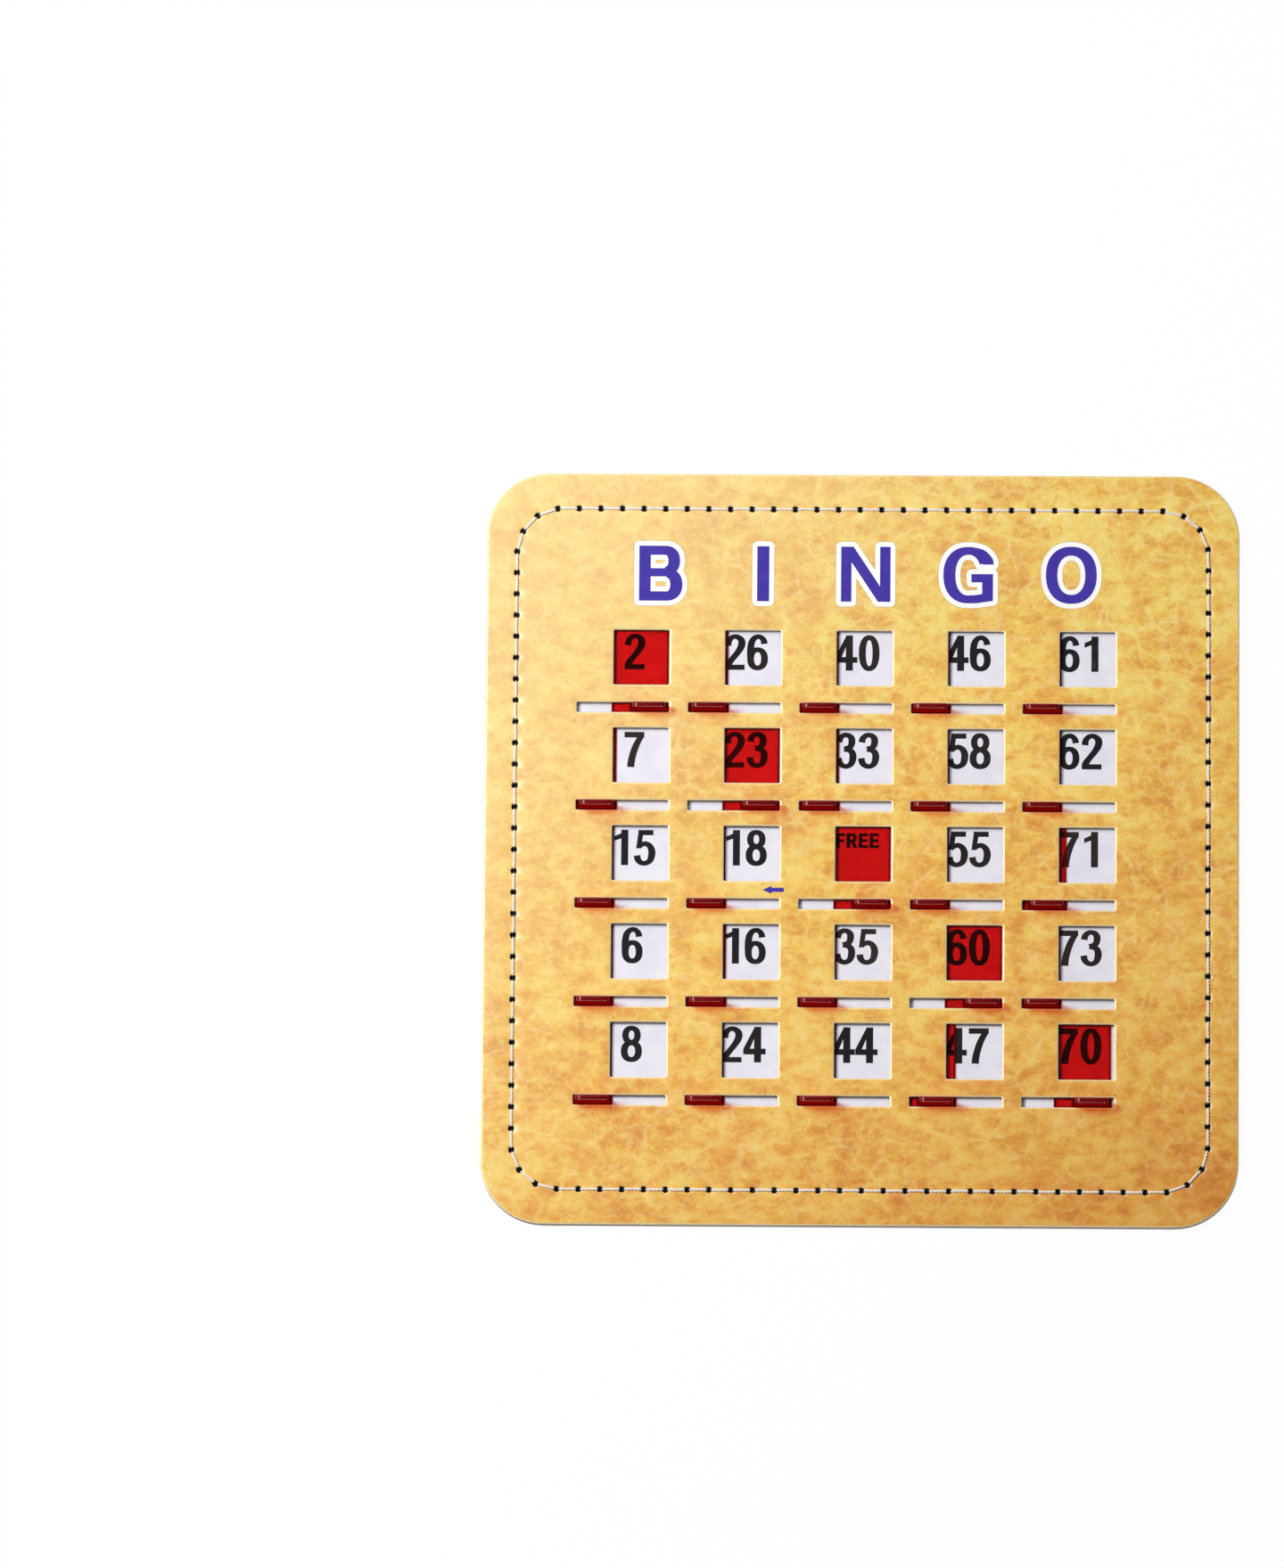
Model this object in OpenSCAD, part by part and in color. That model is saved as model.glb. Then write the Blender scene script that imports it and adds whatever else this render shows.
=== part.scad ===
// Bingo card with a see-through sliding shutter over every number.
// The card lies face up: +X to the right, +Y up the card, +Z out of its face.
// The origin is at the centre of the back.

/* [Windows] */
// Width of a number window
window_w = 15.4; // [12:0.1:20]
// Height of a number window
window_h = 15.4; // [12:0.1:20]
// Height of a finger slot
slot_w = 2.9; // [2.4:0.1:4]
// Card left between a window and the slot under it
bridge_w = 4.75; // [3:0.05:8]

/* [Margins] */
// Card to the left of the windows
left_margin = 34.8; // [28:0.05:45]
// Card to the right of the windows
right_margin = 33.8; // [28:0.05:45]
// Card above the top row of windows, where the column letters are
top_margin = 43.25; // [34:0.05:55]
// Card below the bottom row of slots
bottom_margin = 32.8; // [28:0.05:45]
// Radius of the card's corners
corner_r = 17.5; // [13:0.5:24]

/* [Plies] */
// Thickness of the tan face paper
face_t = 0.2; // [0.1:0.05:0.4]
// Thickness of the board under the face paper
front_t = 0.9; // [0.6:0.05:1.6]
// Thickness of the sheet that carries the numbers
number_t = 0.25; // [0.1:0.05:0.5]
// Thickness of the board under the number sheet
backing_t = 0.55; // [0.4:0.05:1.6]
// Thickness of the board that the card rests on
back_t = 0.8; // [0.7:0.05:1.6]

/* [Shutters] */
// Thickness of a shutter's plate
plate_t = 0.5; // [0.3:0.05:0.9]
// Free space above a plate and below it
plate_rise = 0.15; // [0.05:0.05:0.3]
// Radius of a plate's corners
plate_corner_r = 0.8; // [0.3:0.1:2]
// How far a closed plate reaches past the left side of its window
lap_left = 0.25; // [0.1:0.05:0.8]
// How far a closed plate reaches past the right side of its window
lap_right = 0.05; // [0.05:0.05:0.4]
// How far a plate reaches above its window
lap_top = 0.7; // [0.3:0.1:1.5]
// How far a plate reaches below its slot
lap_bottom = 0.6; // [0.3:0.1:1.5]
// Strip of an open plate that still shows in its window
peek = 0.97; // [0.3:0.01:2]
// Least gap between the plates of two neighbours
plate_gap = 0.25; // [0.15:0.05:0.6]
// Gap above and below a plate in its lane
lane_play = 0.2; // [0.1:0.05:0.5]
// Gap between the outer plates and the ends of their lane
lane_end_play = 0.8; // [0.4:0.1:2]
// Rib of board between two lanes
rib_w = 2.35; // [1.5:0.05:4]

/* [Finger tabs] */
// Width of a tab
tab_w = 10.3; // [8:0.1:12]
// Thickness of a tab
tab_t = 1.4; // [1:0.1:1.8]
// Height of a tab above the card's face
tab_h = 6.4; // [4:0.1:8]
// Radius of a tab's upper corners
tab_corner_r = 2.2; // [1:0.1:3]
// Rounding along a tab's edges
tab_edge_r = 0.3; // [0.1:0.05:0.45]
// Gap between a tab and the end of its slot
tab_end_play = 0.16; // [0.1:0.01:0.5]
// Gap between a tab and the lower side of its slot
tab_play = 0.3; // [0.15:0.05:0.5]

/* [Seam] */
// Distance of the seam from the card's left edge
seam_left = 8.4; // [5:0.1:12]
// Distance of the seam from the card's right edge
seam_right = 8.4; // [5:0.1:12]
// Distance of the seam from the card's top edge
seam_top = 9.8; // [5:0.1:14]
// Distance of the seam from the card's bottom edge
seam_bottom = 9.6; // [5:0.1:14]
// Radius of the seam's corners
seam_corner_r = 12.5; // [8:0.5:18]
// Wanted length of a stitch, which is then fitted to the seam's length
stitch_l = 5.9; // [4.5:0.05:8]
// Width and thickness of the flat sewing thread
thread_w = 0.56; // [0.4:0.02:0.66]
// Free space round the thread
thread_play = 0.04; // [0.02:0.01:0.06]

/* [Hidden] */
// How far a cut runs past the face it opens
over = 1;
letters = "bingo";
cols = len(letters);
rows = 5;

// Where each shutter rests, as a share of its travel: 0 is open and 1 is closed
rest_shares = [
    [1.00, 0.02, 0.00, 0.00, 0.00],
    [0.03, 1.00, 0.02, 0.00, 0.00],
    [0.00, 0.00, 1.00, 0.00, 0.10],
    [0.00, 0.02, 0.00, 1.00, 0.00],
    [0.00, 0.00, 0.00, 0.14, 0.95]
];

// Heights of the plies above the back of the card
backing_z = back_t;
number_z = backing_z + backing_t;
guide_z = number_z + number_t;
guide_t = plate_t + 2 * plate_rise;
front_z = guide_z + guide_t;
face_z = front_z + front_t;
card_t = face_z + face_t;

// A shutter, its travel and its slot
plate_w = lap_left + window_w + lap_right;
plate_h = lap_top + window_h + bridge_w + slot_w + lap_bottom;
travel = window_w + lap_right - peek;
slot_l = tab_w + travel + 2 * tab_end_play;

// The grid, and the card round it
col_pitch = plate_w + travel + plate_gap;
lane_h = plate_h + 2 * lane_play;
row_pitch = lane_h + rib_w;
card_w = left_margin + (cols - 1) * col_pitch + window_w + right_margin;
card_h = top_margin + window_h + (rows - 1) * row_pitch + bridge_w + slot_w + bottom_margin;
function window_x(col) = -card_w / 2 + left_margin + window_w / 2 + col * col_pitch;
function window_y(row) = card_h / 2 - top_margin - window_h / 2 - row * row_pitch;

// Places measured from a window's centre
slot_right = window_w / 2;
slot_y = -window_h / 2 - bridge_w - slot_w / 2;
plate_top = window_h / 2 + lap_top;
tab_right = slot_right - tab_end_play;
tab_y = slot_y - slot_w / 2 + tab_play + tab_t / 2;

// The lanes, from the leftmost open plate to the rightmost closed one
lane_left = window_x(0) + window_w / 2 + lap_right - plate_w - travel - lane_end_play;
lane_right = window_x(cols - 1) + window_w / 2 + lap_right + lane_end_play;

// The seam is a rounded rectangle, sewn anticlockwise from its lower left corner
seam_x0 = -card_w / 2 + seam_left;
seam_x1 = card_w / 2 - seam_right;
seam_y0 = -card_h / 2 + seam_bottom;
seam_y1 = card_h / 2 - seam_top;
seam_w = seam_x1 - seam_x0;
seam_h = seam_y1 - seam_y0;
seam_sides = [seam_w - 2 * seam_corner_r, seam_h - 2 * seam_corner_r];
seam_quarter = PI * seam_corner_r / 2;
seam_starts = [
    [seam_x0 + seam_corner_r, seam_y0],
    [seam_x1, seam_y0 + seam_corner_r],
    [seam_x1 - seam_corner_r, seam_y1],
    [seam_x0, seam_y1 - seam_corner_r]
];
seam_l = 2 * (seam_sides[0] + seam_sides[1]) + 4 * seam_quarter;
stitches = round(seam_l / stitch_l);

function ahead(angle) = [cos(angle), sin(angle)];
function on_corner(centre, turned, side) =
    centre + seam_corner_r * ahead(90 * side - 90 + turned);
function on_side(s, side, straight) =
    let (end = seam_starts[side] + min(s, straight) * ahead(90 * side))
    s <= straight ? end
        : on_corner(end + seam_corner_r * ahead(90 * side + 90),
                    90 * (s - straight) / seam_quarter, side);
function on_seam(s, side = 0) =
    let (straight = seam_sides[side % 2])
    side == 3 || s <= straight + seam_quarter ? on_side(s, side, straight)
        : on_seam(s - straight - seam_quarter, side + 1);
step_l = seam_l / stitches;
holes = [for (i = [0 : stitches - 1]) on_seam(i * step_l)];

// The legs of two neighbours share a hole, and lean together where the seam turns
corner_turn = step_l / seam_corner_r * 180 / PI;
leg_x = thread_play + thread_w / 2 * tan(corner_turn / 2);
hole_r = norm([leg_x + thread_w, thread_w / 2]) + thread_play;
// How far a straight stitch cuts inside the seam's round corners
corner_sag = step_l * step_l / (8 * seam_corner_r);
groove_side = thread_w / 2 + 2 * thread_play;
groove_t = thread_w + 2 * thread_play;

tan_paper = "#F3D07A";
grey_board = "#BEAFAA";
white_paper = "#F5F2FA";
shutter_red = "#DA231F";
thread_white = "#F4EEDC";

function shutter_name(row, col) = str("shutter_", letters[col], row + 1);
$fn = 48;

// Outlines

module rounded_rect(w, h, r) {
    square([w - 2 * r, h], center = true);
    square([w, h - 2 * r], center = true);
    for (x = [-1, 1], y = [-1, 1])
        translate([x * (w / 2 - r), y * (h / 2 - r)]) circle(r);
}

module needle_holes() {
    for (hole = holes)
        translate(hole) circle(hole_r, $fn = 24);
}

module sewn_outline() {
    difference() {
        rounded_rect(card_w, card_h, corner_r);
        needle_holes();
    }
}

module windows_and_slots() {
    for (row = [0 : rows - 1], col = [0 : cols - 1])
        translate([window_x(col), window_y(row)]) {
            square([window_w, window_h], center = true);
            translate([slot_right - slot_l, slot_y - slot_w / 2]) square([slot_l, slot_w]);
        }
}

module lanes() {
    for (row = [0 : rows - 1])
        translate([lane_left, window_y(row) + plate_top + lane_play - lane_h])
            square([lane_right - lane_left, lane_h]);
}

module seam_outline(grown) {
    translate([(seam_x0 + seam_x1) / 2, (seam_y0 + seam_y1) / 2])
        rounded_rect(seam_w + 2 * grown, seam_h + 2 * grown, seam_corner_r + grown);
}

// Plies, from the face to the back

module punched_ply(z, t) {
    translate([0, 0, z]) linear_extrude(t)
        difference() {
            sewn_outline();
            windows_and_slots();
        }
}

module face_sheet() {
    color(tan_paper) punched_ply(face_z, face_t);
}

module front_board() {
    color(grey_board) punched_ply(front_z, front_t);
}

module shutter_guide() {
    color(grey_board)
        translate([0, 0, guide_z]) linear_extrude(guide_t)
            difference() {
                sewn_outline();
                lanes();
            }
}

module number_sheet() {
    color(white_paper)
        translate([0, 0, number_z]) linear_extrude(number_t) sewn_outline();
}

module backing_board() {
    color(grey_board)
        translate([0, 0, backing_z]) linear_extrude(backing_t) sewn_outline();
}

// The tight lower thread sinks into a pressed groove round the back
module back_cover() {
    color(grey_board) {
        linear_extrude(groove_t)
            difference() {
                rounded_rect(card_w, card_h, corner_r);
                difference() {
                    seam_outline(groove_side);
                    seam_outline(-groove_side - corner_sag);
                }
            }
        translate([0, 0, groove_t]) linear_extrude(back_t - groove_t) sewn_outline();
    }
}

// Threads of the seam

// A stitch from the side: a run, rounded over at both ends into two legs
module staple(span, leg_l) {
    difference() {
        union() {
            translate([thread_w, 0]) square([span - 2 * thread_w, thread_w]);
            for (x = [thread_w, span - thread_w])
                translate([x, 0]) circle(thread_w, $fn = 24);
            translate([0, -leg_l]) square([span, leg_l]);
        }
        translate([thread_w, -leg_l - over]) square([span - 2 * thread_w, leg_l + over]);
    }
}

module stitch(from, to, leg_l) {
    step = to - from;
    translate(from) rotate([90, 0, atan2(step.y, step.x)]) translate([leg_x, 0, -thread_w / 2])
        linear_extrude(thread_w) staple(norm(step) - 2 * leg_x, leg_l);
}

// Both threads meet halfway down the holes
module seam_of_stitches(run_z) {
    for (i = [0 : stitches - 1])
        stitch(holes[i], holes[(i + 1) % stitches], abs(run_z - card_t / 2) - thread_play);
}

module needle_thread() {
    run_z = card_t + thread_play;
    color(thread_white) translate([0, 0, run_z]) seam_of_stitches(run_z);
}

module bobbin_thread() {
    run_z = groove_t - thread_play;
    color(thread_white) translate([0, 0, run_z]) mirror([0, 0, 1]) seam_of_stitches(run_z);
}

// Shutters: a plate in its lane, and a finger tab that stands up through the slot

module tab_front(h) {
    square([tab_w, h - tab_corner_r]);
    translate([tab_corner_r, 0]) square([tab_w - 2 * tab_corner_r, h]);
    for (x = [tab_corner_r, tab_w - tab_corner_r])
        translate([x, h - tab_corner_r]) circle(tab_corner_r);
}

module tab_side(h) {
    square([tab_t, h - tab_edge_r]);
    translate([tab_edge_r, 0]) square([tab_t - 2 * tab_edge_r, h]);
    for (y = [tab_edge_r, tab_t - tab_edge_r])
        translate([y, h - tab_edge_r]) circle(tab_edge_r);
}

module tab(h) {
    intersection() {
        translate([0, tab_t / 2, 0]) rotate([90, 0, 0]) linear_extrude(tab_t) tab_front(h);
        translate([0, -tab_t / 2, 0]) rotate([90, 0, 90]) linear_extrude(tab_w) tab_side(h);
        translate([tab_w / 2, 0, 0]) linear_extrude(h) rounded_rect(tab_w, tab_t, tab_edge_r);
    }
}

module shutter(row, col) {
    plate_z = guide_z + plate_rise;
    slid = travel * (rest_shares[row][col] - 1);
    color(shutter_red)
        translate([window_x(col) + slid, window_y(row), plate_z]) {
            translate([window_w / 2 + lap_right - plate_w / 2, plate_top - plate_h / 2, 0])
                linear_extrude(plate_t) rounded_rect(plate_w, plate_h, plate_corner_r);
            translate([tab_right - tab_w, tab_y, 0]) tab(card_t + tab_h - plate_z);
        }
}

face_sheet();
front_board();
shutter_guide();
number_sheet();
backing_board();
back_cover();
needle_thread();
bobbin_thread();
for (row = [0 : rows - 1], col = [0 : cols - 1])
    shutter(row, col);
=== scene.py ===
"""Looks of the bingo card with sliding shutters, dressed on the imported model.

Lengths are written in millimetres and turned into metres when a mesh is made.
"""

import random
from math import cos, exp, hypot, pi, radians, sin, sqrt

import bmesh
import bpy
from mathutils import Euler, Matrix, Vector, noise
from mathutils.geometry import convex_hull_2d, delaunay_2d_cdt


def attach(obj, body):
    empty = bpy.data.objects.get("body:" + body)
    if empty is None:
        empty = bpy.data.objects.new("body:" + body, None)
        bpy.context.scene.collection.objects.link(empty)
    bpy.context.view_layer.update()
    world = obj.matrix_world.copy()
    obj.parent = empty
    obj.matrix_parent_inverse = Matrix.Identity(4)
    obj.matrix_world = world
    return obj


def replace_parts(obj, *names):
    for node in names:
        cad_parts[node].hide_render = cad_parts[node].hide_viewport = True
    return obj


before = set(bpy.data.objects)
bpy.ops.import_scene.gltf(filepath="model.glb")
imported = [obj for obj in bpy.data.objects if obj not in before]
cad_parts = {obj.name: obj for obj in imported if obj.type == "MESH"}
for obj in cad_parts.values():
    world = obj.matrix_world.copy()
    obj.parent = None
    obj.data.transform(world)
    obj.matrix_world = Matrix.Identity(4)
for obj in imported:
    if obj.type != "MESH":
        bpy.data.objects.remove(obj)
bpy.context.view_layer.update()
MM = 0.001

# The card's layout in millimetres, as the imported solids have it
CARD_W, CARD_H, CORNER_R = 205.72, 207.5, 17.5
COLUMN_X = [-60.36, -29.93, 0.5, 30.93, 61.36]
ROW_Y = [52.8, 25.7, -1.4, -28.5, -55.6]
WINDOW = 15.4
SLOT_L, SLOT_W, SLOT_DROP, SLOT_SHIFT = 25.1, 2.9, 13.9, -4.85
WINDOWS = [(x, y) for y in ROW_Y for x in COLUMN_X]
SLOTS = [(x + SLOT_SHIFT, y - SLOT_DROP) for x, y in WINDOWS]
SHEET_Z, GUIDE_Z, PLATE_Z0, PLATE_Z1 = 1.6, 2.4, 1.75, 2.25
FACE_TOP, FACE_T = 3.5, 0.2
# A shut plate reaches so far right of and above its window's centre.
PLATE_RIGHT, PLATE_ABOVE = 7.75, 8.4
PLATE_W, PLATE_H, PLATE_R = 15.7, 24.35, 0.8
# The tab stands so far in from the plate's right side and below its slot's middle.
TAB_IN, TAB_LOW = 0.21, 0.45
TAB_W, TAB_T, TAB_TOP = 10.3, 1.4, 9.9
TRAVEL = 14.48
PLACES = [letter + row for row in "12345" for letter in "bingo"]
REST_SHARES = {
    "b1": 1, "i1": 0.02, "b2": 0.03, "i2": 1, "n2": 0.02, "n3": 1,
    "o3": 0.1, "i4": 0.02, "g4": 1, "g5": 0.14, "o5": 0.95,
}
NUMBERS = "2,26,40,46,61,7,23,33,58,62,15,18,,55,71,6,16,35,60,73,8,24,44,47,70".split(",")

# The seam, sewn anticlockwise from its lower left corner
SEAM_SIDE, SEAM_LOW, SEAM_HIGH = 8.4, 9.6, 9.8
SEAM_X0, SEAM_X1 = -CARD_W / 2 + SEAM_SIDE, CARD_W / 2 - SEAM_SIDE
SEAM_Y0, SEAM_Y1 = -CARD_H / 2 + SEAM_LOW, CARD_H / 2 - SEAM_HIGH
SEAM_R, STITCH_L = 12.5, 5.9
HOLE_R = 0.80

# The camera stands far off, at the photograph's viewing angle.
CAMERA_TURN = (9.997, 1.159, 0.527)
CAMERA_AIM, CAMERA_AWAY = (-59.85, 18.05, 0), 3600
CAMERA_LENS, CAMERA_SENSOR = 302.91, 36


def add_object(name, data):
    thing = bpy.data.objects.new(name, data)
    bpy.context.scene.collection.objects.link(thing)
    return thing


def add_camera():
    turn = Euler([radians(a) for a in CAMERA_TURN], "XYZ")
    data = bpy.data.cameras.new("camera")
    data.lens, data.sensor_width = CAMERA_LENS, CAMERA_SENSOR
    data.clip_start, data.clip_end = 0.1, 50
    cam = add_object("camera", data)
    aim = Vector(CAMERA_AIM) * MM
    away = Vector((0, 0, CAMERA_AWAY)) * MM
    away.rotate(turn)
    cam.rotation_euler = turn
    cam.location = aim + away
    bpy.context.scene.camera = cam


# Node helpers
class Shader:
    """A material's node tree, with short calls for the nodes used here."""

    def __init__(self, name):
        self.mat = bpy.data.materials.new(name)
        self.mat.use_nodes = True
        self.tree = self.mat.node_tree
        self.bsdf = self.tree.nodes["Principled BSDF"]
        self.out = self.tree.nodes["Material Output"]
        self.where = self.add("ShaderNodeTexCoord").outputs["Object"]

    def add(self, kind, feeds=None, **settings):
        """A new node, whose sockets are fed constants or other nodes' outputs."""
        node = self.tree.nodes.new(kind)
        for key, value in settings.items():
            setattr(node, key, value)
        for key, value in (feeds or {}).items():
            self.feed(node.inputs[key], value)
        return node

    def join(self, source, socket):
        self.tree.links.new(source, socket)

    def feed(self, socket, value):
        if isinstance(value, bpy.types.NodeSocket):
            self.join(value, socket)
        else:
            socket.default_value = value

    def scaled(self, sx, sy, sz):
        """Places squeezed or stretched, so that what is drawn on them runs one way."""
        feeds = {"Vector": self.where, "Scale": (sx, sy, sz)}
        return self.add("ShaderNodeMapping", feeds).outputs["Vector"]

    def noise(self, scale, detail=4.0, rough=0.55, distortion=0.0, where=None, out="Fac"):
        feeds = {"Vector": where or self.where, "Scale": scale, "Detail": detail,
                 "Roughness": rough, "Distortion": distortion}
        return self.add("ShaderNodeTexNoise", feeds).outputs[out]

    def cells(self, scale, where, feature="F1"):
        feeds = {"Vector": where, "Scale": scale}
        return self.add("ShaderNodeTexVoronoi", feeds, feature=feature).outputs["Distance"]

    def warped(self, scale, amount):
        """Places pushed about by a coarse noise, so that cells lose their straight sides."""
        push = self.noise(scale, 1.5, 0.5, out="Color")
        feeds = {0: push, 1: (amount * MM, amount * MM, amount * MM), 2: self.where}
        return self.add("ShaderNodeVectorMath", feeds, operation="MULTIPLY_ADD").outputs[0]

    def along(self, x, y):
        """How far a place lies in the direction (x, y), in metres."""
        feeds = {0: self.where, 1: (x, y, 0)}
        return self.add("ShaderNodeVectorMath", feeds, operation="DOT_PRODUCT").outputs["Value"]

    def ramp(self, value, *stops):
        """Colours by a value, from stops of (place, colour)."""
        node = self.add("ShaderNodeValToRGB", {"Fac": value})
        marks = node.color_ramp.elements
        while len(marks) < len(stops):
            marks.new(0.5)
        for mark, (place, colour) in zip(marks, stops):
            mark.position = place
            mark.color = colour if len(colour) == 4 else (*colour, 1)
        return node.outputs["Color"]

    def fit(self, value, low, high, to_low=0.0, to_high=1.0):
        """A value's smooth rise from to_low to to_high, between low and high."""
        feeds = {"Value": value, "From Min": low, "From Max": high,
                 "To Min": to_low, "To Max": to_high}
        node = self.add("ShaderNodeMapRange", feeds, interpolation_type="SMOOTHSTEP")
        return node.outputs["Result"]

    def blend(self, share, a, b, kind="MIX"):
        """Colour a with a share of colour b. A mix node's colour sockets go by their places."""
        feeds = {"Factor": share, 6: a, 7: b}
        return self.add("ShaderNodeMix", feeds, data_type="RGBA", blend_type=kind).outputs[2]

    def maths(self, kind, a, b):
        return self.add("ShaderNodeMath", {0: a, 1: b}, operation=kind).outputs[0]

    def plus(self, a, b):
        return self.maths("ADD", a, b)

    def times(self, a, b):
        return self.maths("MULTIPLY", a, b)

    def bump(self, height, distance, strength):
        feeds = {"Height": height, "Distance": distance * MM, "Strength": strength}
        return self.add("ShaderNodeBump", feeds).outputs["Normal"]

    def mark(self):
        """The edge mark, a number that each point of a mesh may have."""
        return self.add("ShaderNodeAttribute", attribute_name="edge").outputs["Fac"]

    def set(self, **values):
        for key, value in values.items():
            self.feed(self.bsdf.inputs[key.replace("_", " ")], value)

    def surface(self, colour, rough, height, distance, strength, specular):
        """The material, with its colour, roughness, bump and specular level."""
        normal = self.bump(height, distance, strength)
        self.set(Base_Color=colour, Roughness=rough, Normal=normal, Specular_IOR_Level=specular)
        return self.mat

    def mix_surface(self, share, other):
        """The surface shows another shader by this share."""
        mix = self.add("ShaderNodeMixShader")
        for socket, source in zip(mix.inputs, (share, self.bsdf.outputs[0], other)):
            self.join(source, socket)
        self.join(mix.outputs[0], self.out.inputs["Surface"])

    def let_lamps_through(self, colour):
        """Lamps reach what is behind, in this colour."""
        clear = self.add("ShaderNodeBsdfTransparent", {"Color": colour})
        path = self.add("ShaderNodeLightPath")
        self.mix_surface(path.outputs["Is Shadow Ray"], clear.outputs[0])


def rgb(r, g, b):
    """A colour as it looks on screen, turned into the shader's linear numbers."""
    def linear(v):
        v /= 255
        return v / 12.92 if v <= 0.04045 else ((v + 0.055) / 1.055) ** 2.4
    return (linear(r), linear(g), linear(b), 1)


# Painted shade down a needle hole, and the edge marks from which it shows
HOLE_SHADE, IN_HOLE = rgb(34, 22, 14), (1.1, 1.8)


def tan_paper():
    """Leather-look cover paper: mottled tan with orange clouds and a net of thin pale veins."""
    s = Shader("tan_paper")
    mottle = s.noise(220, 9, 0.72, 0.25, s.scaled(0.8, 1.2, 1))
    broad = s.noise(40, 2, 0.5, 0.3)
    both = s.plus(s.times(mottle, 0.74), s.times(broad, 0.26))
    colour = s.ramp(
        both,
        (0.405, rgb(250, 224, 114)),
        (0.475, rgb(246, 205, 86)),
        (0.535, rgb(238, 181, 64)),
        (0.61, rgb(222, 149, 42)),
    )
    clouds = s.noise(95, 3, 0.55, 0.6)
    colour = s.blend(s.fit(clouds, 0.50, 0.68, 0.0, 0.45), colour, rgb(238, 166, 62))
    for scale, width, amount in ((130, 0.12, 0.50), (300, 0.15, 0.40)):
        edge = s.cells(scale, s.warped(scale * 0.8, 560 / scale), "DISTANCE_TO_EDGE")
        vein = s.fit(edge, 0.0, width, 1.0, 0.0)
        broken = s.fit(s.noise(scale * 1.3, 3, 0.6), 0.40, 0.64)
        share = s.times(s.times(vein, broken), amount)
        colour = s.blend(share, colour, rgb(255, 236, 150))
    fine = s.noise(1500, 4, 0.7)
    colour = s.blend(s.fit(fine, 0.42, 0.70, 0.0, 0.2), colour, rgb(214, 150, 56))
    # The paper is made paler towards the upper left and darker and more orange towards the lower
    # right.
    lower_right_darkening = s.ramp(
        s.plus(s.along(1.58, -4.05), 0.477),
        (0.25, (1, 1, 1)),
        (0.50, (1.0, 0.94, 0.88)),
        (0.70, (0.985, 0.88, 0.82)),
        (0.85, (0.94, 0.79, 0.67)),
        (1.00, (0.865, 0.63, 0.475)),
    )
    upper_left_paling = s.fit(s.along(-0.95, 0.7), 0.0, 0.145, 0.08, 0.56)
    colour = s.blend(upper_left_paling, colour, rgb(251, 221, 158))
    colour = s.blend(1.0, colour, lower_right_darkening, "MULTIPLY")
    mark = s.mark()
    patchy = s.fit(s.noise(1400, 3), 0.2, 0.6, 0.75, 1.0)
    worn = s.times(s.fit(mark, 0.0, 1.0), patchy)
    colour = s.blend(worn, colour, rgb(255, 236, 184))
    # Painted shade down the needle holes, where the edge marks are deep.
    colour = s.blend(s.fit(mark, *IN_HOLE), colour, HOLE_SHADE)
    grain = s.cells(1300, s.scaled(1, 0.8, 1), "DISTANCE_TO_EDGE")
    pebbles = s.fit(grain, 0.0, 0.22)
    pits = s.noise(2600, 4, 0.6)
    height = s.plus(s.times(pebbles, 0.6), s.times(pits, 0.7))
    rough = s.fit(s.noise(700, 3), 0.3, 0.7, 0.26, 0.33)
    return s.surface(colour, rough, height, 0.010, 0.35, 0.85)


def board(name, pale, dark, streak):
    """Pressed grey board: lies in thin layers, with fibres and flecks."""
    s = Shader(name)
    layers = s.noise(1, 4, 0.65, 0.3, s.scaled(900, 900, 9000))
    fibres = s.noise(1, 5, 0.7, 1.5, s.scaled(2200, 2200, 5200))
    flecks = s.cells(1500, s.scaled(1, 1, 2.5))
    colour = s.ramp(layers, (0.30, dark), (0.55, pale), (0.75, streak))
    colour = s.blend(s.fit(fibres, 0.35, 0.7, 0.0, 0.35), colour, streak)
    colour = s.blend(s.fit(flecks, 0.0, 0.10, 0.35, 0.0), colour, rgb(96, 80, 70))
    # Painted shade on the walls of the needle holes.
    colour = s.blend(s.fit(s.mark(), *IN_HOLE), colour, HOLE_SHADE)
    height = s.plus(layers, s.times(fibres, 0.8))
    return s.surface(colour, 0.92, height, 0.05, 0.8, 0.2)


def cover_board():
    """The back: plain board paper with a soft felt side."""
    s = Shader("cover_board")
    mist = s.noise(90, 4, 0.6, 0.5)
    fibres = s.noise(1, 4, 0.65, 2.0, s.scaled(420, 1500, 900))
    flecks = s.cells(420, s.scaled(1, 0.6, 1))
    colour = s.ramp(
        mist,
        (0.3, rgb(176, 158, 138)),
        (0.6, rgb(196, 180, 160)),
        (0.8, rgb(206, 192, 172)),
    )
    colour = s.blend(s.fit(fibres, 0.4, 0.75, 0.0, 0.35), colour, rgb(224, 214, 198))
    colour = s.blend(s.fit(flecks, 0.0, 0.05, 0.55, 0.0), colour, rgb(112, 90, 70))
    height = s.plus(fibres, s.noise(2200, 4, 0.6))
    return s.surface(colour, 0.85, height, 0.03, 0.6, 0.25)


def white_paper():
    """The number sheet: bluish white, with faint streaks where the shutters rub it."""
    s = Shader("white_paper")
    streaks = s.noise(1, 3, 0.6, 0.2, s.scaled(1600, 90, 100))
    colour = s.ramp(s.noise(160, 3), (0.35, rgb(226, 225, 237)), (0.65, rgb(235, 234, 243)))
    colour = s.blend(s.fit(streaks, 0.45, 0.75, 0.0, 0.18), colour, rgb(222, 216, 232))
    height = s.noise(3000, 4, 0.6)
    return s.surface(colour, 0.55, height, 0.01, 0.4, 0.35)


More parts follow.
